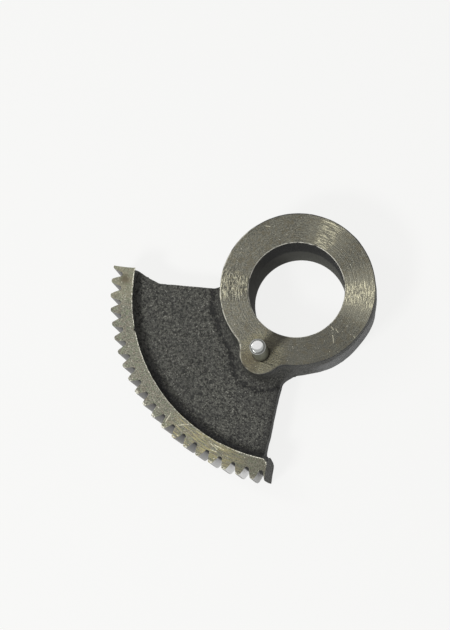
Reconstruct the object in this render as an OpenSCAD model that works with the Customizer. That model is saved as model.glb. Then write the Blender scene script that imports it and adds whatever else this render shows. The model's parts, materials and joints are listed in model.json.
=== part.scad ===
// Cast sector gear with a dowel pin.
// One iron casting is the hub, its ear, the recessed web and a quarter of a toothed rim. A steel dowel
// is pressed into the ear and stands proud of the hub's front face.
// The bore axis is Z, with the back faces at Z = 0. The rim's first end runs along -X, and the sector
// turns from there towards -Y. All lengths are millimetres and all angles degrees.

/* [Teeth] */
// Gear module
gear_module = 1.75; // [1.5:0.05:2]
// Teeth that a full circle of this gear would have
full_teeth = 80; // [72:1:90]
// Tooth gaps cut into the rim
tooth_gaps = 20; // [15:1:22]
// Pressure angle
pressure_angle = 20; // [17.5:0.5:22.5]
// Break on the corners of the tooth tips
tip_break = 0.3; // [0.1:0.05:0.45]

/* [Rim] */
// Width of the rim along the axis
rim_w = 22; // [18:0.5:25]
// Thickness of the rim below the tooth roots
rim_wall = 4.5; // [3.5:0.1:6]
// Extra thickness of the rim at its back face
rim_back_extra = 1.5; // [0.4:0.1:2.5]
// Length of rim before the middle of the first tooth, as an angle
first_land = 1.1; // [0:0.1:2]
// Fillet between the rim and the web
rim_fillet = 3; // [1.5:0.25:4]
// Radius on the inner corner of the rim's last end
rim_corner_r = 2.3; // [1:0.1:2.4]

/* [Hub] */
// Diameter of the bore
bore_d = 36; // [30:0.5:40]
// Width of the hub's front face, from the bore to its rim
hub_wall = 11.15; // [8.25:0.05:13]
// Distance that the cast hub stands off the bore axis, away from the web
hub_shift = 0.45; // [0:0.05:0.6]
// Length of the hub along the axis
hub_h = 30; // [27:0.5:36]
// Break on the front edge of the bore
bore_break = 0.25; // [0.1:0.05:0.8]
// Fillet between the hub, or the ear, and the web
boss_fillet = 5; // [3:0.25:6]

/* [Ear and dowel] */
// Diameter of the dowel
pin_d = 6; // [4:0.5:8]
// Length of the dowel that stands proud of the hub's face
pin_proud = 15; // [8:0.5:20]
// Length of the dowel inside the ear
pin_seat = 14; // [8:0.5:18]
// Distance of the dowel from the bore axis
pin_reach = 27.2; // [26:0.2:30]
// Angle of the dowel from the rim's first end
pin_angle = 71.5; // [40:0.5:74]
// Chamfer on both ends of the dowel
pin_chamfer = 0.8; // [0.3:0.1:1.2]
// Width of the dowel's neck at the hub's face
neck_w = 0.6; // [0.4:0.1:1.2]
// Depth of that neck
neck_depth = 0.2; // [0.1:0.05:0.4]
// Room under the dowel in its hole
hole_room = 1; // [0.5:0.1:2]
// Metal around the dowel
ear_wall = 5; // [4:0.1:7]
// Radius of the hollow blends between the ear and the hub
ear_blend = 12; // [7:0.25:14]

/* [Web] */
// Thickness of the web
web_t = 10; // [7:0.5:12]
// Angle from the rim's first end to the web's first edge
web_start = 4.5; // [2:0.1:6]
// Angle from the direction of the web's last edge to the rim's last end
web_finish = 4.2; // [4:0.1:6]
// Distance from the bore axis to the line of that edge
finish_out = 1.3; // [0.5:0.1:1.7]
// Fillet in plan between the web's first edge and the hub
start_fillet = 1.2; // [0.8:0.1:4]
// Fillet in plan between the web's last edge and the hub
finish_fillet = 5.5; // [3:0.25:8]
// Length of the gusset that carries the rim's first end
gusset_l = 9; // [6:0.5:14]
// Radius of the blend between the gusset and the web's edge
gusset_blend = 8; // [3:0.5:14]

/* [Casting] */
// Draft of the cast walls
draft = 1.75; // [1:0.25:4]
// Draft of the rim's two ends
end_draft = 2.5; // [1:0.25:3.5]

/* [Hidden] */
$fn = 96;

// Gear circles
pitch_deg = 360 / full_teeth;
pitch_r = gear_module * full_teeth / 2;
tip_r = pitch_r + gear_module;
root_r = pitch_r - 1.25 * gear_module;
base_r = pitch_r * cos(pressure_angle);
flank_steps = 6;

// Directions in plan
first_end = 180;
sector_deg = first_land + tooth_gaps * pitch_deg;
last_end = first_end + sector_deg;
pin_dir = first_end + pin_angle;
hub_dir = first_end + sector_deg / 2 - 180;

// Levels along the axis
web_z0 = (rim_w - web_t) / 2;
web_z1 = web_z0 + web_t;
web_mid = rim_w / 2;
hub_mid = hub_h / 2;

// Radii
bore_r = bore_d / 2;
hub_r = bore_r + hub_wall;
hub_near_r = hub_r - hub_shift;
ear_r = pin_d / 2 + ear_wall;
rim_in_r = root_r - rim_wall;
rim_mid_r = root_r - rim_wall / 2;
rim_back_r = rim_in_r - rim_back_extra;
half_r = (hub_r + rim_in_r) / 2;
past_r = tip_r + 1;

// Cast walls lean out by these amounts from their front, or back, edge to the web
boss_lean = (hub_h - web_z1) * tan(draft);
back_lean = web_z0 * tan(draft);
rim_lean = (rim_w - web_z1) * tan(draft);
back_fillet = min(boss_fillet, 0.8 * web_z0);
land_fillet = min(rim_fillet, 0.8 * web_z0);

// Gusset: its edge leaves the web's edge at gusset_u and falls away by gusset_deg
gusset_u = rim_in_r - gusset_l;
gusset_drop = rim_mid_r * tan(web_start) - web_mid * tan(end_draft);
gusset_deg = atan(gusset_drop / (rim_mid_r - gusset_u));
cut = 1;
// Fillets run this far into the faces that they join, and the ear's blends into the hub and the ear
corner_bite = 0.08;
blend_bite = 0.25;
// The fillets of the web's plan run this far into the hub
hub_bite = 0.5;

// Involute of the base circle: the angle that it has turned through at radius r
function involute_deg(r) = let (a = acos(base_r / r)) tan(a) * 180 / PI - a;
// Half of the angle that a gap takes up at radius r
function gap_deg(r) = 90 / full_teeth + involute_deg(r) - involute_deg(pitch_r);
function gap_half(r) = r * sin(gap_deg(r));
// The root is a full round that just touches both flanks: three steps settle its radius
root_round = gap_half(root_r + gap_half(root_r + gap_half(root_r)));
flank_from = root_r + root_round;
flank_to = tip_r - tip_break;
function flank_r(i) = flank_from + (flank_to - flank_from) * i / flank_steps;
function flank_point(r, side) = r * [cos(gap_deg(r)), side * sin(gap_deg(r))];
// Direction at an angle, in plan
function toward(deg) = [cos(deg), sin(deg)];
// Angle at the first of three centres, from the lengths of the sides of their triangle
function corner_deg(a, b, opposite) = acos((a * a + b * b - opposite * opposite) / (2 * a * b));

// Fills the corner p up to an arc of radius r; its edges leave it along d1 and, counter-clockwise, d2
module corner_fill(p, d1, d2, r) {
    half = acos(d1 * d2) / 2;
    out = (d1 + d2) / norm(d1 + d2);
    root = p - corner_bite * out;
    tangent = r / tan(half);
    centre = root + out * r / sin(half);
    difference() {
        polygon([root - cut * out, root + tangent * d1, centre, root + tangent * d2]);
        translate(centre) circle(r);
    }
}

// One tooth gap, along +X
module tooth_gap() {
    opening = flank_point(tip_r, 1) + [0, tip_break];
    polygon(concat(
        [for (i = [0:flank_steps]) flank_point(flank_r(i), -1)],
        [[opening.x, -opening.y], [past_r, -opening.y], [past_r, opening.y], opening],
        [for (i = [flank_steps:-1:0]) flank_point(flank_r(i), 1)]
    ));
    translate([flank_from, 0]) circle(root_round);
}

module tooth_gaps() {
    translate([0, 0, -cut])
        linear_extrude(rim_w + 2 * cut)
            for (i = [0:tooth_gaps - 1])
                rotate(first_end + first_land + (i + 0.5) * pitch_deg) tooth_gap();
}

// Section of the rim: a flat land front and back, and an inner wall that leans out to the web
module rim_section() {
    polygon([
        [rim_back_r, 0], [tip_r, 0], [tip_r, rim_w], [rim_in_r, rim_w],
        [rim_in_r - rim_lean, web_z1], [rim_back_r - back_lean, web_z0]
    ]);
}

// Fillets between the rim's inner wall and the front and the back of the web
module rim_front_fillet() {
    corner_fill([rim_in_r - rim_lean, web_z1], [sin(draft), cos(draft)], [-1, 0], land_fillet);
}

module rim_back_fillet() {
    corner_fill([rim_back_r - back_lean, web_z0], [-1, 0], [sin(draft), -cos(draft)], land_fillet);
}

// The rim's end plane leans in towards the front face; u runs outwards and the rim lies at v > 0
module end_cut() {
    lean = tan(end_draft);
    translate([half_r, 0, 0]) rotate([90, 0, 90]) linear_extrude(past_r - half_r)
        polygon([[-rim_w, -cut], [-cut * lean, -cut], [(rim_w + cut) * lean, rim_w + cut], [-rim_w, rim_w + cut]]);
}

// Rounds the inner corner of an end, along the line where its leaning planes meet
module end_corner_cut() {
    centre = rim_corner_r - corner_bite;
    translate([rim_back_r, 0, 0]) rotate([-end_draft, atan(rim_back_extra / rim_w), 0]) translate([0, 0, -cut])
        linear_extrude(rim_w + 2 * cut) difference() {
            translate([-2 * cut, -cut]) square([centre + 2 * cut, centre + cut]);
            translate([centre, centre]) circle(rim_corner_r);
        }
}

// Plan of the web on one side of an edge, with its fillet at the hub: the edge runs along u at v = -out
module edge_plan(fillet, out) {
    u = sqrt(pow(hub_near_r - hub_bite + fillet, 2) - pow(fillet + out, 2));
    translate([-past_r, -out]) square(2 * past_r);
    difference() {
        polygon([[0, 0], [u, -out - fillet], [u, cut], [0, cut]]);
        translate([u, corner_bite - out - fillet]) circle(fillet);
    }
}

// Plan of the gusset, outside that edge
module gusset_plan() {
    root = [gusset_u, 0];
    polygon([root, [rim_mid_r, -gusset_drop], [rim_mid_r, cut], [gusset_u, cut]]);
    corner_fill(root, [-1, 0], [cos(gusset_deg), -sin(gusset_deg)], gusset_blend);
}

// Plan of the whole web, out to the middle of the rim
module web_plan() {
    intersection() {
        circle(rim_mid_r);
        rotate(first_end + web_start) {
            edge_plan(start_fillet, 0);
            gusset_plan();
        }
        rotate(last_end - web_finish) mirror([0, 1]) edge_plan(finish_fillet, finish_out);
    }
}

// Fillets between the hub's leaning wall and the front and the back of the web, joined inside the metal
module hub_fillets_section() {
    up = [-sin(draft), cos(draft)];
    corner_fill([hub_r + boss_lean, web_z1], [1, 0], up, boss_fillet);
    corner_fill([hub_r + back_lean, web_z0], [up.x, -up.y], [1, 0], back_fillet);
    translate([hub_r - cut, web_z0 + cut / 2]) square([2 * cut, web_t - cut]);
}

// Outline of the ear with its two hollow blends to the hub; the hub's axis is the origin, the dowel on +X
module ear_outline() {
    from_hub = hub_near_r + ear_blend - blend_bite;
    from_ear = ear_r + ear_blend - blend_bite;
    blend = from_hub * toward(corner_deg(pin_reach, from_hub, from_ear));
    translate([pin_reach, 0]) circle(ear_r);
    difference() {
        polygon([[0, 0], [blend.x, -blend.y], [pin_reach, 0], blend]);
        translate(blend) circle(ear_blend);
        translate([blend.x, -blend.y]) circle(ear_blend);
    }
}

module ear() {
    translate([0, 0, web_mid]) linear_extrude(hub_h - web_mid) ear_outline();
    translate([pin_reach, 0, 0]) rotate_extrude() corner_fill([ear_r, web_z1], [1, 0], [0, 1], boss_fillet);
}

// Keeps what stands on the web inside the plan of the web and the hub
module on_web() {
    intersection() {
        children();
        translate([0, 0, -cut]) linear_extrude(hub_h + 2 * cut) {
            web_plan();
            circle(hub_r);
        }
    }
}

// Ring of the hub: its outer wall leans out from both faces to a parting line at mid height
module hub() {
    rotate_extrude() polygon([
        [bore_r - 2 * cut, 0], [hub_r, 0], [hub_r + hub_mid * tan(draft), hub_mid],
        [hub_r, hub_h], [bore_r - 2 * cut, hub_h]
    ]);
}

// Moves the cast hub off the bore axis
module at_hub() {
    rotate(hub_dir) translate([hub_shift, 0, 0]) children();
}

module rim() {
    rotate(first_end) rotate_extrude(angle = sector_deg) rim_section();
}

module bore() {
    translate([0, 0, -cut]) cylinder(r = bore_r, h = hub_h + 2 * cut);
    translate([0, 0, hub_h - bore_break])
        cylinder(r1 = bore_r, r2 = bore_r + 2 * bore_break, h = 2 * bore_break);
}

module sector_casting() {
    color([0.30, 0.30, 0.28])
    difference() {
        union() {
            at_hub() hub();
            translate([0, 0, web_z0]) linear_extrude(web_t) web_plan();
            rim();
            on_web() at_hub() rotate_extrude() hub_fillets_section();
            on_web() rotate_extrude() rim_front_fillet();
            on_web() rotate_extrude() rim_back_fillet();
            on_web() rotate(pin_dir) ear();
        }
        bore();
        rotate(pin_dir) translate([pin_reach, 0, hub_h - pin_seat - hole_room])
            cylinder(r = pin_d / 2, h = pin_seat + hole_room + cut);
        tooth_gaps();
        rotate(first_end) end_cut();
        rotate(last_end) mirror([0, 1, 0]) {
            end_cut();
            end_corner_cut();
        }
    }
}

// Round dowel with chamfered ends and a shallow neck where it leaves the hub's face
module dowel_pin() {
    r = pin_d / 2;
    foot = hub_h - pin_seat;
    top = hub_h + pin_proud;
    color([0.72, 0.72, 0.70])
    rotate(pin_dir) translate([pin_reach, 0, 0]) rotate_extrude() polygon([
        [0, foot], [r - pin_chamfer, foot], [r, foot + pin_chamfer],
        [r, hub_h], [r - neck_depth, hub_h], [r - neck_depth, hub_h + neck_w], [r, hub_h + neck_w],
        [r, top - pin_chamfer], [r - pin_chamfer, top], [0, top]
    ]);
}

sector_casting();
dowel_pin();
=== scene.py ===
# %% [markdown]
# # A cast sector gear
# The part is an iron casting with a turned hub, a recessed web and a quarter of a toothed rim, and a
# steel dowel that stands proud of its ear. The solids come packed and to size, so this lesson only gives
# them their surfaces. Everything is in metres, in the frame of the packed part: the bore axis is Z, and
# the back faces lie at Z = 0.

# %% Load the packed part
import json
import math

import bpy
import numpy as np
from mathutils import Matrix, Vector


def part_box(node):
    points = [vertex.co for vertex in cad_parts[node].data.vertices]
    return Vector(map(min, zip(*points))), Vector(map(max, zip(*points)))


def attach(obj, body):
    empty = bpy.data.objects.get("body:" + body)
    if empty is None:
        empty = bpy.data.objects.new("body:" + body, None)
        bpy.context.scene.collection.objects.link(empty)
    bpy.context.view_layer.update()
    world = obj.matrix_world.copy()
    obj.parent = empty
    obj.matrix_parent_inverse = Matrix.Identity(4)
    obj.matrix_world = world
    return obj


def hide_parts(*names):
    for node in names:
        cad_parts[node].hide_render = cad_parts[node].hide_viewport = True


MM = 0.001
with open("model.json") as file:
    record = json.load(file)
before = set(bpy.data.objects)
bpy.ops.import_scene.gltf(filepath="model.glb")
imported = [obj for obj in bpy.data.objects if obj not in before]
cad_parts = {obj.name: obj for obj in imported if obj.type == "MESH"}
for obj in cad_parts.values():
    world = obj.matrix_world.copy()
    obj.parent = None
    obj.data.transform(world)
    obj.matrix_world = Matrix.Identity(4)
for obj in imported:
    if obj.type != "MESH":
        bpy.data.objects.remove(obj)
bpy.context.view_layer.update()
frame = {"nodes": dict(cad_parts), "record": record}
mounts = {m["name"]: m for m in frame["record"]["mounts"]}

# %% [markdown]
# ## The camera
# A long lens stands almost straight above the part, a little towards its lower right. The three turns and
# the offset were found by laying the bore's two edges and the tooth tips over the photograph. A camera
# looks along its own -Z, so the transpose of the turn from the part to the picture is the turn of the
# camera.

# %% Place the camera
LENS_MM = 80
PART_TURNS = ((-10.7318, "X"), (-6.2077, "Y"), (-10.915, "Z"))
CAMERA_OFFSET = Vector((-26.591, -9.453, 521.43)) * MM
HUB_FACE = 30 * MM

to_picture = Matrix.Identity(3)
for degrees, axis in PART_TURNS:
    to_picture = to_picture @ Matrix.Rotation(math.radians(degrees), 3, axis)
to_part = to_picture.transposed()

camera = bpy.data.objects.new("camera", bpy.data.cameras.new("camera"))
camera.data.lens = LENS_MM
camera_at = to_part @ CAMERA_OFFSET + Vector((0, 0, HUB_FACE))
camera.matrix_world = Matrix.Translation(camera_at) @ to_part.to_4x4()
bpy.context.scene.collection.objects.link(camera)
bpy.context.scene.camera = camera
print("camera at", camera_at)

# %% [markdown]
# ## Shader maths
# A finish is easier to read as a sum than as a picture of nodes. `Amount` wraps a socket that carries a
# number, and each operator adds one Math node. `Finish` holds a material, and its `node` method adds any
# other node: the settings come first, because they decide which sockets a node has, and then the values
# or links of those sockets.

# %% Numbers that are worked out in the shader
class Amount:
    """A number in a node tree. Arithmetic on it adds Math nodes."""

    def __init__(self, finish, socket):
        self.finish, self.socket = finish, socket

    def math(self, operation, *others):
        sockets = dict(enumerate((self, *others)))
        return Amount(self.finish, self.finish.node("Math", {"operation": operation}, sockets).outputs[0])

    def __add__(self, other):
        return self.math("ADD", other)

    def __mul__(self, other):
        return self.math("MULTIPLY", other)

    def __sub__(self, other):
        return self.math("SUBTRACT", other)

    def __rsub__(self, other):
        return self * -1 + other

    def __pow__(self, other):
        return self.math("POWER", other)

    def __abs__(self):
        return self.math("ABSOLUTE")

    def __truediv__(self, other):
        return self.math("DIVIDE", other)

    __radd__, __rmul__ = __add__, __mul__

    def least(self, other):
        return self.math("MINIMUM", other)

    def most(self, other):
        return self.math("MAXIMUM", other)

    def rise(self, start, end):
        """0 before start and 1 after end, with a smooth step between them."""
        settings = {"interpolation_type": "SMOOTHSTEP"}
        node = self.finish.node("MapRange", settings, {"Value": self, 1: start, 2: end})
        return Amount(self.finish, node.outputs[0])

    def within(self, half, soft):
        """1 where the number lies closer to 0 than half, and 0 from soft beyond it."""
        return 1 - abs(self).rise(half, half + soft)


print("an Amount also has", [name for name in vars(Amount) if not name.startswith("_")])

# %% A material and its nodes
class Finish:
    """A material whose nodes are added by expressions."""

    def __init__(self, name):
        self.material = bpy.data.materials.new(name)
        self.material.use_nodes = True
        self.tree = self.material.node_tree
        self.shader = self.tree.nodes["Principled BSDF"]
        place = self.node("TexCoord").outputs["Object"]
        scaled = self.node("VectorMath", {"operation": "SCALE"}, {"Vector": place, "Scale": 1 / MM})
        self.place = scaled.outputs[0]
        split = self.node("SeparateXYZ", None, {0: self.place})
        self.x, self.y, self.z = (Amount(self, socket) for socket in split.outputs)

    def feed(self, socket, value):
        if isinstance(value, Amount):
            value = value.socket
        if isinstance(value, bpy.types.NodeSocket):
            self.tree.links.new(value, socket)
        else:
            socket.default_value = value

    def node(self, kind, settings=None, sockets=None):
        made = self.tree.nodes.new("ShaderNode" + kind)
        for name, value in (settings or {}).items():
            setattr(made, name, value)
        for key, value in (sockets or {}).items():
            self.feed(made.inputs[key], value)
        return made

    def noise(self, scale, detail=2, roughness=0.5, place=None):
        sockets = {"Vector": place or self.place, "Scale": scale, "Detail": detail, "Roughness": roughness}
        return Amount(self, self.node("TexNoise", None, sockets).outputs[0])

    def line_noise(self, along, scale, detail=2):
        """Noise along one number only, so it draws rings when the number is a radius."""
        sockets = {"W": along, "Scale": scale, "Detail": detail}
        return Amount(self, self.node("TexNoise", {"noise_dimensions": "1D"}, sockets).outputs[0])

    def mask(self, name):
        return Amount(self, self.node("Attribute", {"attribute_name": name}).outputs["Fac"])

    def mix(self, factor, first, second):
        return self.node("Mix", {"data_type": "RGBA"}, {0: factor, 6: first, 7: second}).outputs[2]

    def blend(self, factor, first, second):
        """The number first where the factor is 0, second where it is 1."""
        return first + (second - first) * factor

    def away(self, x, y):
        """Distance in plan from a point of the part, in millimetres."""
        return ((self.x - x) ** 2 + (self.y - y) ** 2) ** 0.5

    def facing(self, degrees):
        """Cosine of the angle in plan between a direction and the way out from the bore axis."""
        a = math.radians(degrees)
        return (self.x * math.cos(a) + self.y * math.sin(a)) / self.away(0, 0)

    def stroke(self, start, end, half):
        """1 along a thin line in plan and 0 from half a width away: a smooth step of the distance to the
        nearest point of the line."""
        run = (end[0] - start[0], end[1] - start[1])
        share = ((self.x - start[0]) * run[0] + (self.y - start[1]) * run[1]) / (run[0] ** 2 + run[1] ** 2)
        share = share.most(0).least(1)
        gap = ((self.x - start[0] - share * run[0]) ** 2 + (self.y - start[1] - share * run[1]) ** 2) ** 0.5
        return 1 - gap.rise(half * 0.3, half)

    def spot(self, place, size, edge):
        """1 around a place in plan and 0 well past its size, with a ragged edge: a smooth step of the
        distance, which a noise moves in and out."""
        return 1 - (self.away(*place) + edge * size).rise(size * 0.6, size * 1.4)

    def bump(self, height):
        """A normal bent by a height in millimetres."""
        return self.node("Bump", None, {"Strength": 1, "Distance": MM, "Height": height}).outputs[0]

    def wear(self, **sockets):
        """Sets or links sockets of the shader; an underscore in a name stands for a space."""
        for name, value in sockets.items():
            self.feed(self.shader.inputs[name.replace("_", " ")], value)


print("a Finish has", [name for name in vars(Finish) if not name.startswith("_")])


# %% Colours as they look on the screen
def tone(red, green, blue):
    """A colour as 8-bit values on the screen, turned into the linear values of a shader."""
    return (*(((c / 255 + 0.055) / 1.055) ** 2.4 for c in (red, green, blue)), 1)


print("a screen grey of 128 is", round(tone(128, 128, 128)[0], 3), "in a shader")

# %% [markdown]
# ## Stage and light
# The part lies on a pale floor. Nearly all that the camera sees of the floor is the floor's own light,
# and the rest is lit paint, so the background is near white and the part's shadow stays faint. A sky of
# one colour fills the shade. A soft key lamp stands at the lower left, where the dowel's shadow says, a
# long lamp at the left lights the turned face, and a wide one overhead softens the rest.

# %% Floor
FLOOR_SIZE = 12.0
FLOOR_PAINT = tone(236, 236, 234)
BACKGROUND = tone(246, 246, 245)
FLOOR_GLOW = 0.92

paper = Finish("floor_paper")
rays = paper.node("LightPath").outputs
seen = [Amount(paper, rays[name]) for name in ("Is Camera Ray", "Is Glossy Ray", "Is Transmission Ray")]
own_light = paper.node("Emission", None, {"Color": BACKGROUND})
shown = paper.node("MixShader", None, {0: (seen[0] + seen[1] + seen[2]).least(1) * FLOOR_GLOW})
paper.tree.links.new(paper.shader.outputs[0], shown.inputs[1])
paper.tree.links.new(own_light.outputs[0], shown.inputs[2])
paper.tree.links.new(shown.outputs[0], paper.tree.nodes["Material Output"].inputs[0])
paper.wear(Base_Color=FLOOR_PAINT, Roughness=0.9)

floor_mesh = bpy.data.meshes.new("floor")
floor_mesh.from_pydata([(x, y, 0) for x, y in ((-1, -1), (1, -1), (1, 1), (-1, 1))], [], [(0, 1, 2, 3)])
floor_mesh.transform(Matrix.Scale(FLOOR_SIZE / 2, 4))
floor_mesh.materials.append(paper.material)
floor = bpy.data.objects.new("floor", floor_mesh)
bpy.context.scene.collection.objects.link(floor)
print("floor", FLOOR_SIZE, "m across")

# %% Sky and lamps
SKY_STRENGTH = 0.34


def lamp(name, azimuth, elevation, distance, size, light):
    """Aims a soft lamp at the part. Light is the share of a plain white floor's brightness that it gives.
    A flat lamp of power P lights a floor at distance d by P sin(elevation) / (pi d)^2 of a white one."""
    a, e = math.radians(azimuth), math.radians(elevation)
    out = Vector((math.cos(a) * math.cos(e), math.sin(a) * math.cos(e), math.sin(e)))
    data = bpy.data.lights.new(name, "AREA")
    data.shape, data.size, data.size_y = "RECTANGLE", *size
    data.energy = light * (math.pi * distance) ** 2 / math.sin(e)
    made = bpy.data.objects.new(name, data)
    made.location = out * distance + Vector((0, 0, HUB_FACE))
    made.rotation_euler = out.to_track_quat("Z", "Y").to_euler()
    bpy.context.scene.collection.objects.link(made)


world = bpy.data.worlds.new("sky")
world.use_nodes = True
world.node_tree.nodes["Background"].inputs["Color"].default_value = (1, 1, 1, 1)
world.node_tree.nodes["Background"].inputs["Strength"].default_value = SKY_STRENGTH
bpy.context.scene.world = world
lamp("key", 236, 54, 0.8, (0.14, 0.14), 0.58)
lamp("left", 168, 57, 0.8, (0.1, 0.3), 0.2)
lamp("overhead", 130, 78, 1.0, (0.7, 0.7), 0.11)
bpy.context.scene.view_settings.view_transform = "Standard"
print("sky", SKY_STRENGTH, "and", len(bpy.data.lights), "lamps")

# %% [markdown]
# ## The casting's mesh
# The packed casting has the right form with crisp edges everywhere. On the real one only the machined
# edges are crisp: sand moulds leave every other edge round and every other face grainy. So a copy of the
# casting is sorted into machined and cast faces, its cast skin is cut into fine triangles, and only there
# the points are smoothed and moved.

# %% Read the packed triangles as one closed skin
SAME_PLACE = 1e-7


def closed_triangles(node):
    """Points and triangles of a packed node, with the points that share a place merged into one."""
    mesh = frame["nodes"][node].data
    mesh.calc_loop_triangles()
    points = np.empty(3 * len(mesh.vertices), np.float32)
    corners = np.empty(3 * len(mesh.loop_triangles), np.int32)
    mesh.vertices.foreach_get("co", points)
    mesh.loop_triangles.foreach_get("vertices", corners)
    points = points.reshape(-1, 3).astype(float)
    places = np.round(points / SAME_PLACE)
    _, first, merged = np.unique(places, axis=0, return_index=True, return_inverse=True)
    triangles = merged.ravel()[corners].reshape(-1, 3)
    whole = (triangles != np.roll(triangles, 1, axis=1)).all(axis=1)
    return points[first], triangles[whole]


def normals_of(points, triangles):
    """Area vectors of triangles: half the cross product of two sides."""
    a, b, c = (points[triangles[:, k]] for k in range(3))
    return np.cross(b - a, c - a) / 2


points, triangles = closed_triangles("sector_casting")
print("casting:", len(points), "points,", len(triangles), "triangles")

# %% Sort the faces by how they were made
RIM_FACE = 22 * MM
ROOT_R = 67.8 * MM
BORE_R = mounts["bore"]["dims"]["r_mm"] * MM
PIN_R = mounts["dowel_end"]["dims"]["r_mm"] * MM
PIN_AT = np.array(mounts["dowel_end"]["pos_m"][:2])
RIM_ENDS = {"first": (180.0, 1), "last": (271.1, -1)}
END_LEAN = math.tan(math.radians(2.5))
CLOSE = 0.05 * MM
BORE_EDGE = 0.6 * MM
UPRIGHT = 0.99


def inside_end(places, name):
    """Distance from a leaning end plane of the rim into the rim, for points near that end."""
    degrees, side = RIM_ENDS[name]
    a = math.radians(degrees)
    return side * (places[:, 1] * math.cos(a) - places[:, 0] * math.sin(a)) - places[:, 2] * END_LEAN


def sort_faces(points, triangles):
    """True or false for each triangle under the names cast, teeth and bore. The rest is turned or ground
    flat."""
    middle = points[triangles].mean(axis=1)
    normal = normals_of(points, triangles)
    normal /= np.linalg.norm(normal, axis=1, keepdims=True)
    radius = np.hypot(middle[:, 0], middle[:, 1])
    level = middle[:, 2]
    flat = (normal[:, 2] > UPRIGHT) & ((abs(level - HUB_FACE) < CLOSE) | (abs(level - RIM_FACE) < CLOSE))
    flat |= (normal[:, 2] < -UPRIGHT) & (level < CLOSE)
    bore = radius < BORE_R + BORE_EDGE
    ends = (abs(inside_end(middle, "first")) < CLOSE) | (abs(inside_end(middle, "last")) < CLOSE)
    teeth = (radius > ROOT_R) & ~flat & ~ends
    hole = np.hypot(*(middle[:, :2] - PIN_AT).T) < PIN_R + CLOSE
    return {"cast": ~(flat | bore | teeth | hole), "teeth": teeth, "bore": bore & ~flat}


kinds = sort_faces(points, triangles)
print("faces:", {name: int(chosen.sum()) for name, chosen in kinds.items()})

# %% Cut the cast skin finely
CAST_STEP = 0.9 * MM


def halve_edges(points, triangles, chosen, limit):
    """Halves each edge of a chosen triangle that is longer than the limit, and cuts the triangles on both
    sides of it to match. Returns the new points and triangles, and the old triangle of each new one."""
    sides = np.sort(triangles[:, [[0, 1], [1, 2], [2, 0]]].reshape(-1, 2), axis=1)
    edges, which = np.unique(sides, axis=0, return_inverse=True)
    which = which.reshape(-1, 3)
    touched = np.zeros(len(edges), bool)
    touched[which[chosen]] = True
    long = touched & (np.linalg.norm(points[edges[:, 0]] - points[edges[:, 1]], axis=1) > limit)
    middle = np.full(len(edges), -1)
    middle[long] = len(points) + np.arange(long.sum())
    points = np.vstack([points, points[edges[long]].mean(axis=1)])
    halves = middle[which]
    count = (halves >= 0).sum(axis=1)
    old = np.arange(len(triangles))
    turn = np.where(count == 1, (halves >= 0).argmax(axis=1), ((halves < 0).argmax(axis=1) + 1) % 3)
    turned = (turn[:, None] + np.arange(3)) % 3
    a, b, c = np.take_along_axis(triangles, turned, 1).T
    ab, bc, ca = np.take_along_axis(halves, turned, 1).T
    cuts = {0: [(a, b, c)], 1: [(a, ab, c), (ab, b, c)], 2: [(ab, b, bc), (a, ab, bc), (a, bc, c)],
            3: [(a, ab, ca), (ab, b, bc), (ca, bc, c), (ab, bc, ca)]}
    made = [(np.stack(t, 1)[count == n], old[count == n]) for n, parts in cuts.items() for t in parts]
    return points, np.vstack([m[0] for m in made]), np.concatenate([m[1] for m in made])


while True:
    before = len(triangles)
    points, triangles, parent = halve_edges(points, triangles, kinds["cast"], CAST_STEP)
    kinds = {name: chosen[parent] for name, chosen in kinds.items()}
    if len(triangles) == before:
        break
print("cut skin:", len(points), "points,", len(triangles), "triangles")

# %% [markdown]
# ## Round edges, and a casting that is not quite true
# A sand mould rounds every edge that no tool cuts later, and a casting shrinks and shifts, so the real
# one isn't as true as its drawing. It could be sculpted by hand, but a rule can be read and changed. Each
# point that only cast faces touch moves to the mean of its neighbours, again and again: edges turn round
# and flats stay flat. A few shifts follow the photograph, and each is a depth times smooth steps that
# fade away from its place.

# %% Draw in the hub's wall
FACE_PULL = 0.5 * MM
WALL_PULL = 1.25 * MM
PULL_FROM = (-95, -70)
PULL_TO = (-28, 0)


def ramp(value, start, end):
    """A smooth step from 0 at start to 1 at end."""
    t = np.clip((value - start) / (end - start), 0, 1)
    return t * t * (3 - 2 * t)


def fade(value, start, end):
    """A smooth step from 1 at start to 0 at end."""
    return 1 - ramp(value, start, end)


def pull_in_hub_wall(points):
    """Draws the hub's wall in towards the bore along one quarter, less at the front face than further down:
    the depth at a height times the share round the hub."""
    x, y, z = points.T
    radius = np.hypot(x, y)
    turn = np.degrees(np.arctan2(y, x))
    share = ramp(turn, *PULL_FROM) * fade(turn, *PULL_TO)
    share *= ramp(radius, BORE_R + 4 * MM, BORE_R + 9 * MM) * fade(radius, 34 * MM, 38 * MM)
    depth = WALL_PULL + (FACE_PULL - WALL_PULL) * ramp(z, 16 * MM, HUB_FACE)
    scale = 1 - share * depth / radius
    return np.stack([x * scale, y * scale, z], 1)


drawn = pull_in_hub_wall(points)
print("hub wall drawn in by up to", round(np.linalg.norm(drawn - points, axis=1).max() / MM, 2), "mm")
points = drawn

# %% Smooth the cast skin, but not the web's first edge
ROUNDS = 10
FIRST_EDGE = math.radians(184.5)


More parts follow.
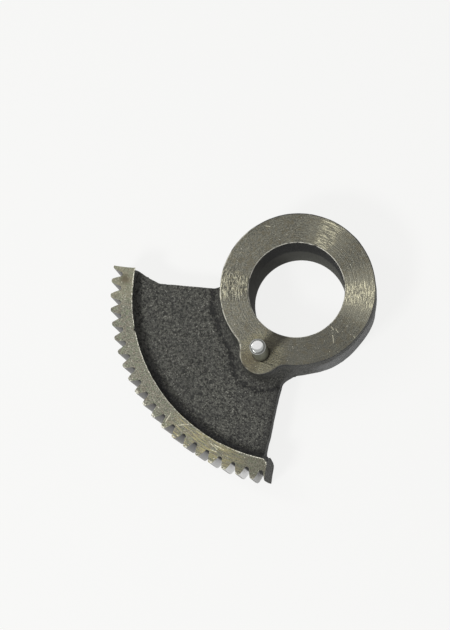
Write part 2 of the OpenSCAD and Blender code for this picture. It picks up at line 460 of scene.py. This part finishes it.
def smooth_cast(points, triangles, cast, rounds, still):
    """Moves each point that only cast faces touch to the mean of its neighbours, again and again. Still is
    the share of each point's move that is held back."""
    free = np.ones(len(points), bool)
    free[triangles[~cast]] = False
    edges = np.sort(triangles[:, [[0, 1], [1, 2], [2, 0]]].reshape(-1, 2), axis=1)
    edges = np.unique(edges, axis=0)
    edges = np.vstack([edges, edges[:, ::-1]])
    count = np.bincount(edges[:, 0], minlength=len(points))[:, None]
    share = (free * (1 - still))[:, None]
    for _ in range(rounds):
        sums = [np.bincount(edges[:, 0], points[edges[:, 1], k], len(points)) for k in range(3)]
        points = points + share * (np.stack(sums, 1) / count - points)
    return points, free


from_first_edge = points[:, 1] * math.cos(FIRST_EDGE) - points[:, 0] * math.sin(FIRST_EDGE)
still = fade(abs(from_first_edge), 2 * MM, 5 * MM) * ramp(-points[:, 0], 28 * MM, 32 * MM)
points, free = smooth_cast(points, triangles, kinds["cast"], ROUNDS, still)
print("smoothed", int(free.sum()), "points in", ROUNDS, "rounds")

# %% Lift the web's first edge
FIRST_LIFT = 0.55 * MM
GUSSET_LIFT = 0.45 * MM
HUB_CORNER = 2.0 * MM


def first_edge_lift(points):
    """How far the web's first edge moves towards +Y: a lift along the web, one more at the gusset and a
    fuller corner at the hub, all fading out away from the edge."""
    x, y, z = points.T
    radius = np.hypot(x, y)
    along = FIRST_LIFT * ramp(-x, 28 * MM, 33 * MM) * (1 - 0.6 * ramp(radius, 62 * MM, 71 * MM))
    gusset = GUSSET_LIFT * ramp(-x, 58.5 * MM, 62 * MM) * fade(radius, 62.8 * MM, 64.2 * MM)
    at_hub = fade(-x, 29 * MM, 33.5 * MM) ** 2 * ramp(-x, 24 * MM, 28 * MM) * fade(z, 18 * MM, 25 * MM)
    corner = HUB_CORNER * at_hub * ramp(from_first_edge, -5 * MM, -0.5 * MM)
    return (along + gusset + corner) * fade(from_first_edge, 2 * MM, 9 * MM)


first_lift = first_edge_lift(points)
print("first edge lifted by up to", round(first_lift.max() / MM, 2), "mm")

# %% Shape the rim's last end
LAST_LIFT = 0.8 * MM
LAST_ROUND = 2.2 * MM
LAST_EDGE = math.radians(266.9)
LAST_EDGE_AT = 1.3
LAST_CORNER = 2.3 * MM
WEB_FOOT = 0.65 * MM


def last_end_shift(points):
    """How far points near the rim's last end move towards +X and +Y: the end's back is lifted, its inner
    corner is rounded off, and the web's foot and the corner at the hub are filled."""
    x, y, z = points.T
    radius = np.hypot(x, y)
    from_end = inside_end(points, "last")
    on_rim = ramp(radius, 52 * MM, 60 * MM)
    back = fade(from_end, 1.5 * MM, 4 * MM) * on_rim * (1 - z / RIM_FACE)
    inner = fade(from_end, 0, 3.5 * MM) * on_rim
    inner *= fade(radius, 60 * MM, 65.5 * MM) * (1 - 0.5 * z / RIM_FACE)
    from_edge = x * math.sin(LAST_EDGE) - y * math.cos(LAST_EDGE) + LAST_EDGE_AT * MM
    foot = ramp(-y, 40 * MM, 62 * MM) * fade(-y, 61.3 * MM, 63 * MM) * fade(from_edge, 1.5 * MM, 6 * MM)
    fillet = ramp(y, -34.5 * MM, -29 * MM) * ramp(x, -5 * MM, -1 * MM) * fade(x, 0, 4 * MM)
    fillet *= fade(z, 18 * MM, 25 * MM) * ramp(radius, 24 * MM, 28 * MM)
    return WEB_FOOT * foot + LAST_CORNER * fillet - LAST_ROUND * inner, LAST_LIFT * back


aside, last_lift = last_end_shift(points)
print("last end moved aside by", (aside.min() / MM).round(2), "to", (aside.max() / MM).round(2), "mm")

# %% Set the nick in the rim's inner edge and move the points
NICK_AT = np.array([-58.6, -24, 22]) * MM
NICK_DEPTH = 0.6 * MM
NICK_R = 1.3 * MM

x, y, z = points.T
nick = NICK_DEPTH * fade(np.linalg.norm(points - NICK_AT, axis=1), 0, NICK_R) / np.hypot(x, y)
lift = first_lift + last_lift
points = np.stack([x + x * nick + aside, y + y * nick + lift, z], 1)
print("nick touches", int((nick > 0).sum()), "points")

# %% [markdown]
# ## The sand's grain in the mesh
# Moulding sand leaves a grain that shows along the outline, and a bump in a material can't change an
# outline. So the coarse grain is real: two smooth noises sink the cast points along their normals. They
# only sink, so the casting doesn't grow, and where the skin meets a machined face they sink sideways, so
# that face stays flat.

# %% Roughen the cast skin
GRAIN = ((3.2, 0.16), (1.5, 0.09))
LATTICE = 48
EDGE_GRAIN = 0.6
rng = np.random.default_rng(7)


def lattice_noise(places, cell):
    """Smooth noise from 0 to 1: random values on a cubic lattice, blended by a smooth step between them."""
    values = rng.random((LATTICE,) * 3)
    scaled = places / (cell * MM)
    base = np.floor(scaled).astype(int)
    step = scaled - base
    step = step * step * (3 - 2 * step)
    total = np.zeros(len(places))
    for corner in np.ndindex(2, 2, 2):
        weight = np.where(corner, step, 1 - step).prod(axis=1)
        total += weight * values[tuple(((base + corner) % LATTICE).T)]
    return total


def roughen_cast(points, triangles, cast, free):
    """Sinks the points of the cast skin along its normal by the grain; at a machined edge, only sideways."""
    push = np.zeros_like(points)
    area = normals_of(points, triangles[cast])
    for k in range(3):
        np.add.at(push, triangles[cast][:, k], area)
    push[~free, 2] = 0
    push /= np.maximum(np.linalg.norm(push, axis=1, keepdims=True), 1e-12)
    depth = sum(height * lattice_noise(points, cell) for cell, height in GRAIN) * MM
    depth *= np.where(free, 1.0, EDGE_GRAIN)
    touched = np.zeros(len(points), bool)
    touched[triangles[cast]] = True
    return points - push * (depth * touched)[:, None]


grained = roughen_cast(points, triangles, kinds["cast"], free)
print("grain sinks the skin by up to", round(np.linalg.norm(grained - points, axis=1).max() / MM, 2), "mm")
points = grained

# %% Put the arrays into a mesh
SHARP = math.radians(32)


def skin_object(name, points, faces, slot, replaced, finish):
    """A piece that rides on the part, from an array of points and one of faces with the same number of
    corners."""
    mesh = bpy.data.meshes.new(name)
    mesh.vertices.add(len(points))
    mesh.vertices.foreach_set("co", points.astype(np.float32).ravel())
    mesh.loops.add(faces.size)
    mesh.loops.foreach_set("vertex_index", faces.astype(np.int32).ravel())
    mesh.polygons.add(len(faces))
    mesh.polygons.foreach_set("loop_start", np.arange(0, faces.size, faces.shape[1], dtype=np.int32))
    mesh.update(calc_edges=True)
    mesh.validate()
    mesh.shade_smooth()
    mesh.set_sharp_from_angle(angle=SHARP)
    mesh.materials.append(finish.material)
    piece = bpy.data.objects.new(name, mesh)
    bpy.context.scene.collection.objects.link(piece)
    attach(piece, "root")
    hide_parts(replaced)
    print(name, "has", len(faces), "faces")
    return piece


iron = Finish("cast_iron")
casting = skin_object("casting_skin", points, triangles, "cast_iron", "sector_casting", iron)
for name, chosen in kinds.items():
    casting.data.attributes.new(name, "FLOAT", "FACE").data.foreach_set("value", chosen.astype(np.float32))

# %% [markdown]
# ## The casting's finish
# One material covers both surfaces of the iron, and the sorted faces choose between them. Painted
# pictures could do it, but sums of noises and distances need no image and can be read. First come the
# places that the sums refer to: how far a point lies from the bore axis, the hub's wall and the ear, and
# two slow noises. Lengths are in millimetres.

# %% Where things are on the casting
HUB_AT = (0.315, 0.321)
HUB_R = 29.15
EAR_R = 8.0
EAR_BLEND = 4
cast, teeth, bore = (iron.mask(name) for name in kinds)
radius = iron.away(0, 0)
rim = radius.rise(50, 52)
from_hub = iron.away(*HUB_AT) - HUB_R
from_pin = iron.away(*(PIN_AT / MM))
from_ear = from_pin - EAR_R
from_boss = from_hub.math("SMOOTH_MIN", from_ear, EAR_BLEND)
left_edge = iron.facing(195).rise(0.4, 0.55)
cloud = iron.noise(0.13, 3)
drift = iron.noise(0.45, 3)
print("masks", list(kinds), "and", len(iron.tree.nodes), "nodes so far")

# %% [markdown]
# ## Cast skin
# Iron poured into sand keeps the print of the grains: a charcoal skin with pale specks. Two noises of
# unlike size make the mottle, which follows the bump, so it is partly grain and partly painted shade in the
# pits. A third noise, cut off high, sets the specks, which are painted glints. Painted shade darkens the
# corner round the hub, where a broken dark line runs, and the web's last edge. The rim's wall and the
# smooth part of the hub's wall take the tones that the photograph shows there; on the rim's wall these are
# painted shade and painted light.

# %% Sand and specks
CHARCOAL = tone(27, 27, 25)
SAND = tone(89, 89, 82)
GLINT_SPECK = tone(160, 159, 150)
CLOUD = tone(50, 50, 48)
sand = iron.noise(1.6, 2, 0.55)
relief = iron.noise(0.75, 2)
glint = iron.noise(2.6, 2, 0.5).rise(0.57, 0.72)
# The mottle follows the bump's height, so it is partly grain and partly painted shade in the pits; the pale
# specks are painted glints.
cast_colour = iron.mix((sand * 0.6 + relief * 0.4).rise(0.36, 0.65), CHARCOAL, SAND)
cast_colour = iron.mix(glint * sand.rise(0.46, 0.6), cast_colour, GLINT_SPECK)
cast_colour = iron.mix(cloud.rise(0.6, 0.35) * 0.3, cast_colour, CLOUD)
print("sand mixed,", len(iron.tree.nodes), "nodes")

# %% The corner round the hub, and the rim's wall
CORNER_SHADE = tone(34, 34, 31)
FILLET_DARK_LINE = tone(12, 12, 12)
RIM_WALL_SHADE = tone(38, 38, 41)
RIM_WALL_LIGHT = tone(88, 88, 84)
fillet_band = 1 - from_boss.rise(3.6, 5.2)
fillet_line = (from_boss + drift * 4 - 6.4).within(0.3, 1.1) * relief.rise(0.68, 0.5)
rim_wall = (radius + drift * 2).rise(61.4, 62.8) * (1 - radius.rise(63.2, 63.6) * 0.6)
rim_wall_shade = rim_wall * iron.facing(250).rise(0.6, 0.95) * 0.6
rim_wall_light = rim_wall * iron.facing(190).rise(0.85, 0.98) * relief.rise(0.4, 0.6)
# Painted shade in the corner round the hub and the ear.
cast_colour = iron.mix(fillet_band * (1 - sand) * 0.9, cast_colour, CORNER_SHADE)
# A broken dark line along the outer edge of the corner, with a groove in the bump.
cast_colour = iron.mix(fillet_line * 0.85, cast_colour, FILLET_DARK_LINE)
# Painted shade on the rim's wall where it faces away from the key lamp, and painted light on its left side,
# which lies in shade.
cast_colour = iron.mix(rim_wall_shade, cast_colour, RIM_WALL_SHADE)
cast_colour = iron.mix(rim_wall_light, cast_colour, RIM_WALL_LIGHT)
print("corner and rim wall mixed,", len(iron.tree.nodes), "nodes")

# %% The web's last edge, and the hub's wall
WEB_EDGE_SHADE = tone(34, 34, 32)
SMOOTH_WALL = tone(136, 137, 138)
UNDER_FACE = tone(14, 14, 14)
last_edge = iron.x * math.sin(LAST_EDGE) - iron.y * math.cos(LAST_EDGE) + LAST_EDGE_AT
edge_shade = (1 - last_edge.rise(1, 3)) * radius.rise(31, 36) * (1 - radius.rise(61, 64) * 0.8)
rightward = iron.facing(-20)
smooth_to = rightward.rise(0.3, 1) * 7 + 13
smoothed = (iron.z + drift * 6 - 3 - smooth_to).rise(2.5, -2.5)
smoothed *= (1 - from_boss.rise(2, 4)) * rightward.rise(0.6, 0.82)
# Painted shade along the web's last edge.
cast_colour = iron.mix(edge_shade * (1.15 - sand), cast_colour, WEB_EDGE_SHADE)
cast_colour = iron.mix(smoothed * (drift * 0.5 + sand * 0.6), cast_colour, SMOOTH_WALL)
cast_colour = iron.mix(iron.z.rise(26.5, 28.5) * (1 - left_edge) * 0.8, cast_colour, UNDER_FACE)
print("cast skin mixed,", len(iron.tree.nodes), "nodes")

# %% [markdown]
# ## Turned hub
# A lathe leaves fine rings on the hub's face. Light spreads across such rings, so the face shows bright
# wedges that point at the bore. Anisotropic reflection could make them, but a finish that is baked keeps
# only plain inputs such as colour and roughness. So the wedges are mixed in by direction, and strokes
# along the turn break them up.

# %% Strokes and rings
STROKES_ROUND = 11
STROKES_OUT = 3
turning = {0: iron.x / radius * STROKES_ROUND, 1: iron.y / radius * STROKES_ROUND, 2: radius * STROKES_OUT}
strokes = iron.noise(1, 2, 0.6, iron.node("CombineXYZ", None, turning).outputs[0])
rings = iron.line_noise(radius, 2.4, 1)
bands = iron.line_noise(radius, 0.9, 2)
grain = iron.noise(2.4, 2, 0.6)
tint = iron.noise(0.9, 2)
turned = strokes * 0.6 + grain * 0.4
speckled = strokes * 0.3 + grain * 0.7
streaks = strokes * 0.55 + bands * 0.45
print("strokes and rings,", len(iron.tree.nodes), "nodes")

# %% The hub's face and its wedges
HUB_DARK = tone(68, 67, 62)
HUB_LIGHT = tone(120, 119, 107)
RUST_TINT = tone(106, 99, 80)
LOWER_SHADE = tone(74, 73, 67)
STAIN = tone(84, 78, 62)
GLOW = tone(152, 149, 132)
WEDGE = tone(206, 201, 172)
DARK_WEDGE = tone(44, 43, 38)
sideways = abs(iron.facing(5))
upper = iron.facing(71)
leftward = iron.facing(185).rise(0, 0.5)
# Painted highlights: glow and wedge are the lamps' reflections spread across the turned rings, and
# dark_wedge paints dark streaks into the left wedge.
glow = sideways.rise(0.86, 1).most(upper.rise(0.9, 1) * 0.5) * (1 - leftward)
wedge = sideways.rise(0.965, 1).most(upper.rise(0.98, 1) * 0.8)
wedge *= turned.rise(0.46, 0.6) * (1 - leftward * 0.5)
dark_wedge = sideways.rise(0.94, 1) * leftward * streaks.rise(0.56, 0.42)
turned_colour = iron.mix(speckled.rise(0.37, 0.63), HUB_DARK, HUB_LIGHT)
turned_colour = iron.mix(tint.rise(0.45, 0.65) * 0.35, turned_colour, RUST_TINT)
turned_colour = iron.mix(iron.facing(-65).rise(0.6, 1) * 0.5, turned_colour, LOWER_SHADE)
turned_colour = iron.mix(drift.rise(0.5, 0.66) * 0.35, turned_colour, STAIN)
turned_colour = iron.mix(glow * 0.4, turned_colour, GLOW)
turned_colour = iron.mix(wedge, turned_colour, WEDGE)
turned_colour = iron.mix(dark_wedge * 0.7, turned_colour, DARK_WEDGE)
print("hub's face mixed,", len(iron.tree.nodes), "nodes")

# %% The ear, the hub's edge and the seat of the dowel
EAR_HIGHLIGHT = tone(146, 140, 108)
EDGE_HIGHLIGHT = tone(186, 184, 172)
EDGE_SHADE = tone(48, 50, 54)
PIN_SEAT = tone(26, 25, 22)
ear = (1 - from_ear.rise(-2, 2)) * speckled.rise(0.4, 0.6)
hub_edge = from_boss.rise(-0.6, -0.25)
pin_ring = 1 - from_pin.rise(3.2, 3.6)
# A painted highlight on the ear.
turned_colour = iron.mix(ear * 0.45, turned_colour, EAR_HIGHLIGHT)
# A painted highlight along the hub's edge on the left, and painted shade along it on the other sides.
turned_colour = iron.mix(hub_edge * left_edge * drift.rise(0.38, 0.58) * 0.6, turned_colour, EDGE_HIGHLIGHT)
turned_colour = iron.mix(hub_edge * (1 - left_edge) * 0.75, turned_colour, EDGE_SHADE)
turned_colour = iron.mix(pin_ring * 0.8, turned_colour, PIN_SEAT)
print("turned hub mixed,", len(iron.tree.nodes), "nodes")

# %% [markdown]
# ## Ground rim, bore and teeth
# The rim's lands are ground, so they have no rings, only a fine grain with a little rust and green in it,
# with painted highlight streaks towards the key lamp and a painted sheen on the left. Their edges catch
# the light: a burr with painted highlight, and painted glints on the tooth tips. The bore is darkest where
# it faces away from the key lamp, and its front edge has a painted highlight. The tooth gaps have painted
# shade in their roots and a painted reflection on their flanks. All of it is mixed from the same distances
# and noises, so it lines up with the mesh.

# %% The rim's land
LAND_DARK = tone(66, 66, 58)
LAND_LIGHT = tone(122, 121, 109)
LAND_RUST = tone(112, 100, 84)
LAND_GREEN = tone(96, 104, 78)
LAND_HIGHLIGHT_STREAK = tone(146, 138, 100)
LAND_SHADE = tone(74, 72, 60)
LAND_LEFT_SHEEN = tone(150, 147, 118)
# Painted highlight streaks on the land towards the key lamp.
streaked = iron.facing(249).rise(0.96, 0.99) * strokes.rise(0.46, 0.64)
ground_colour = iron.mix(grain.rise(0.34, 0.66), LAND_DARK, LAND_LIGHT)
ground_colour = iron.mix(tint.rise(0.5, 0.62) * 0.25, ground_colour, LAND_RUST)
ground_colour = iron.mix(tint.rise(0.48, 0.36) * 0.35, ground_colour, LAND_GREEN)
ground_colour = iron.mix(streaked * 0.8, ground_colour, LAND_HIGHLIGHT_STREAK)
ground_colour = iron.mix(iron.x.rise(-30, -5) * 0.4, ground_colour, LAND_SHADE)
# A painted sheen on the land's left part.
ground_colour = iron.mix(iron.facing(184).rise(0.985, 0.998) * tint * 0.3, ground_colour, LAND_LEFT_SHEEN)
print("rim's land mixed,", len(iron.tree.nodes), "nodes")

# %% The land's edges
RIM_IN_R = 63.3
LAND_CORNER = 2.5
BURR_AND_GLINT = tone(204, 202, 188)
OFF_LAND = tone(36, 36, 34)
end_turn = math.radians(RIM_ENDS["last"][0])
from_end = iron.x * math.sin(end_turn) - iron.y * math.cos(end_turn) - RIM_FACE / MM * END_LEAN
past_wall = (RIM_IN_R + LAND_CORNER - radius).most(0)
past_end = (LAND_CORNER - from_end).most(0)
off_land = (past_wall ** 2 + past_end ** 2) ** 0.5 - LAND_CORNER
# A bright burr along the land's inner edge, with painted highlight stronger on the left and at the last end;
# tip_glint paints glints on the tooth tips that face the key lamp.
rim_edge = off_land.rise(-0.55, -0.2) * grain.rise(0.43, 0.56) * (1 - radius.rise(64.5, 67))
rim_edge *= (iron.facing(190).rise(0.8, 0.95) * 0.5 + 0.4).most(iron.facing(268).rise(0.975, 0.995))
tip_glint = radius.rise(70.6, 71.2) * grain.rise(0.46, 0.56) * iron.facing(240).rise(0.85, 0.96)
ground_colour = iron.mix(rim_edge.most(tip_glint * 0.8), ground_colour, BURR_AND_GLINT)
ground_colour = iron.mix(off_land.rise(0, 0.25), ground_colour, OFF_LAND)
print("land's edges mixed,", len(iron.tree.nodes), "nodes")

# %% Bore and teeth
BORE_WALL = tone(72, 72, 66)
BORE_SHADE = tone(10, 10, 10)
BORE_GRAIN = tone(92, 92, 85)
BORE_EDGE_HIGHLIGHT = tone(180, 178, 168)
ROOT_SHADE = tone(10, 10, 10)
FLANK = tone(148, 147, 145)
FLANK_REFLECTION = tone(198, 198, 197)
# A painted highlight along the bore's front edge.
bore_edge = iron.z.rise(29.6, 29.8) * drift.rise(0.3, 0.55)
bore_shade = (iron.z + drift * 3).rise(15.5, 19) * iron.facing(75).rise(-0.1, 0.6)
bore_colour = iron.mix(bore_shade, BORE_WALL, BORE_SHADE)
bore_colour = iron.mix(grain.rise(0.45, 0.65) * 0.3, bore_colour, BORE_GRAIN)
bore_colour = iron.mix(bore_edge, bore_colour, BORE_EDGE_HIGHLIGHT)
# Painted shade in the roots of the tooth gaps.
flank = radius.rise(68.1, 68.8)
# A painted reflection on the gaps' flanks, growing towards the last end; where it lies the roughness is also
# lower.
bright_flank = iron.x.rise(-34, -10) * (1 - iron.x.rise(-6, -4.5) * 0.6)
bright_flank *= teeth * flank * (1 - radius.rise(71.6, 71.74))
tooth_colour = iron.mix(flank, ROOT_SHADE, iron.mix(bright_flank, FLANK, FLANK_REFLECTION))
machined_colour = iron.mix(rim, turned_colour, ground_colour)
machined_colour = iron.mix(bore, machined_colour, bore_colour)
machined_colour = iron.mix(teeth, machined_colour, tooth_colour)
print("machined faces mixed,", len(iron.tree.nodes), "nodes")

# %% [markdown]
# ## Scratches, specks, oil and the dowel's painted shadow
# A part that has been handled has scratches on its machined faces, and old oil stays beside the dowel and
# at the rim's first end. Each scratch is a short stroke between two points in plan, and each patch of oil
# is a spot with a ragged edge. Few and uneven ones, listed one by one, look more real than many at random.

# %% Scratches, oil and the dowel's painted shadow
HUB_SCRATCHES = (((16.3, -14.7), (17.2, -17.5)), ((15.3, -11.7), (16.2, -12.6)), ((16.8, -12), (18, -13.2)),
                 ((24, -13.7), (25.1, -14.7)), ((-16.1, 22.1), (-14.2, 22.2)))
RIM_SCRATCHES = (((-38.8, -53.1), (-40, -56.3)), ((-35.7, -57), (-31.5, -56)), ((-22.5, -61), (-19, -63.2)),
                 ((-21.3, -63.6), (-18.9, -64.2)), ((-20.2, -61.7), (-16.7, -62.8)))
SCRATCH_W = 0.25
OIL = (((-13, -29), 7, 0.7), ((-66.4, -5.4), 3.5, 0.8))
PIN_SHADOW = ((-8.6, -25.8), (-1.4, -15), 4.4)
OIL_TONE = tone(66, 57, 40)
PIN_SHADOW_TONE = tone(48, 45, 38)
FLECK = tone(196, 193, 178)
SCRATCH = tone(196, 192, 170)
none = drift * 0
scratched = sum((iron.stroke(*ends, SCRATCH_W) for ends in HUB_SCRATCHES + RIM_SCRATCHES), start=none)
oily = sum((iron.spot(place, size, drift) * amount for place, size, amount in OIL), start=none)
oily *= grain.rise(0.3, 0.6) * 0.5 + 0.5
# The dowel's shadow on the hub's face, running towards the bore, is painted as a dark stroke.
pin_shadow = iron.stroke(*PIN_SHADOW) * (drift * 0.5 + 0.55)
flecks = iron.noise(1.7, 1).rise(0.7, 0.76) * (1 - teeth) * (1 - bore)
machined_colour = iron.mix(oily.least(1), machined_colour, OIL_TONE)
machined_colour = iron.mix(flecks * 0.7, machined_colour, FLECK)
machined_colour = iron.mix(pin_shadow, machined_colour, PIN_SHADOW_TONE)
machined_colour = iron.mix(scratched.least(1) * grain.rise(0.35, 0.6) * 0.8, machined_colour, SCRATCH)
print(len(HUB_SCRATCHES) + len(RIM_SCRATCHES), "scratches and", len(OIL), "oily patches")

# %% Put both surfaces on the casting
machined_height = iron.blend(rim, rings * 0.07 + strokes * 0.01, grain * 0.035) * (1 - bore) * (1 - teeth)
cast_height = sand * 0.7 + relief * 0.4 - fillet_line * 0.3
machined_roughness = drift * 0.2 + 0.25 + rim * 0.1
dull_roughness = 0.7 + bore * 0.2 - bright_flank * 0.4
iron.wear(
    Base_Color=iron.mix(cast, machined_colour, cast_colour),
    Metallic=iron.blend(cast.most(bore), 0.75 + teeth * 0.2, 0.1),
    Roughness=iron.blend(cast.most(bore).most(teeth), machined_roughness, dull_roughness),
    Normal=iron.bump(iron.blend(cast, machined_height, cast_height)),
)
print("cast_iron has", len(iron.tree.nodes), "nodes")

# %% [markdown]
# ## The dowel
# The dowel is a ground steel pin with chamfered ends, and a narrow neck where it leaves the ear. A
# cylinder with bevels would do, but a profile carried once round the axis gives each edge its own small
# round. It stands where the packed dowel stands, and is only rounder.

# %% Turn the dowel
TURN_STEPS = 128
CHAMFER = 0.8 * MM
NECK_W = 0.6 * MM
NECK_DEPTH = 0.2 * MM
EDGE_R = 0.12 * MM


def soft_profile(corners, edge_r, steps=5):
    """Rounds the corners between a profile's two ends: each becomes a parabola that leaves and meets its
    sides at edge_r from the corner, or a little under half of a short side."""
    corners = np.array(corners)
    t = np.linspace(0, 1, steps)[:, None]
    made = [corners[:1]]
    for before, corner, after in zip(corners[:-2], corners[1:-1], corners[2:]):
        start = corner + (before - corner) * min(0.45, edge_r / np.linalg.norm(before - corner))
        end = corner + (after - corner) * min(0.45, edge_r / np.linalg.norm(after - corner))
        made.append((1 - t) ** 2 * start + 2 * t * (1 - t) * corner + t ** 2 * end)
    return np.vstack([*made, corners[-1:]])


def turn(profile, centre, steps):
    """Carries a profile of radii and heights once round an upright axis. Each cell of the grid is two
    triangles, and a fan of triangles closes each end."""
    around = np.arange(steps) * 2 * np.pi / steps
    ring = np.stack([np.cos(around), np.sin(around)], 1)
    body = profile[1:-1]
    plan = centre + body[:, None, :1] * ring
    grid = np.dstack([plan, np.broadcast_to(body[:, 1:], plan.shape[:2])]).reshape(-1, 3)
    poles = np.array([[*centre, profile[0, 1]], [*centre, profile[-1, 1]]])
    i, j = np.meshgrid(np.arange(len(body) - 1), np.arange(steps), indexing="ij")
    a, b = i * steps + j, i * steps + (j + 1) % steps
    walls = np.stack([a, b, b + steps, a, b + steps, a + steps], -1).reshape(-1, 3)
    j, last = np.arange(steps), (len(body) - 1) * steps
    foot = np.stack([np.full(steps, len(grid)), (j + 1) % steps, j], -1)
    top = np.stack([np.full(steps, len(grid) + 1), last + j, last + (j + 1) % steps], -1)
    return np.vstack([grid, poles]), np.vstack([walls, foot, top])


low, high = (corner.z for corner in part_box("dowel_pin"))
dowel_profile = soft_profile([
    (0, low), (PIN_R - CHAMFER, low), (PIN_R, low + CHAMFER), (PIN_R, HUB_FACE),
    (PIN_R - NECK_DEPTH, HUB_FACE), (PIN_R - NECK_DEPTH, HUB_FACE + NECK_W),
    (PIN_R, HUB_FACE + NECK_W), (PIN_R, high - CHAMFER),
    (PIN_R - CHAMFER, high), (0, high),
], EDGE_R)
steel = Finish("dowel_steel")
dowel = skin_object("dowel", *turn(dowel_profile, PIN_AT, TURN_STEPS), "dowel_steel", "dowel_pin", steel)

# %% [markdown]
# ## Bright steel
# The dowel's end is polished, and the sky that it mirrors on one side is a painted reflection. Its bevel
# takes painted shade and a painted highlight line, and its ground side is duller. The bands are chosen by
# the distance from the pin's axis, which follows the profile exactly.

# %% Steel by its distance from the axis
END_DARK = tone(158, 160, 158)
END_REFLECTION = tone(212, 212, 211)
SIDE_DARK = tone(116, 117, 104)
SIDE_LIGHT = tone(144, 145, 130)
BEVEL = tone(146, 147, 142)
BEVEL_HIGHLIGHT = tone(208, 209, 207)
NECK = tone(30, 29, 27)
SHINE_AT = PIN_AT / MM + (-0.4, 1)
from_axis = steel.away(*(PIN_AT / MM))
marks = steel.noise(3, 3, 0.6)
lines = steel.line_noise(steel.z, 6, 2)
neck = (steel.z - (HUB_FACE + NECK_W / 2) / MM).within(0.35, 0.15)
side = from_axis.rise(2.85, 2.95)
bevel = from_axis.rise(2.15, 2.25)
shine = 1 - steel.away(*SHINE_AT).rise(1.9, 2.4)
# shine marks where the end's painted reflection of the sky is brightest; the bevel's darker tone is painted
# shade and its line a painted highlight.
polished = steel.mix(shine, END_DARK, END_REFLECTION)
ground = steel.mix(marks.rise(0.35, 0.7), SIDE_DARK, SIDE_LIGHT)
bevelled = steel.mix(bevel, polished, steel.mix(from_axis.rise(2.66, 2.78), BEVEL, BEVEL_HIGHLIGHT))
steel.wear(
    Base_Color=steel.mix(neck, steel.mix(side, bevelled, ground), NECK),
    Metallic=1.0,
    Roughness=marks * 0.1 + 0.14 + bevel * 0.2 + side * 0.25,
    Normal=steel.bump((lines * 0.02 + marks * 0.01) * side),
)
print("dowel_steel has", len(steel.tree.nodes), "nodes")

# %% [markdown]
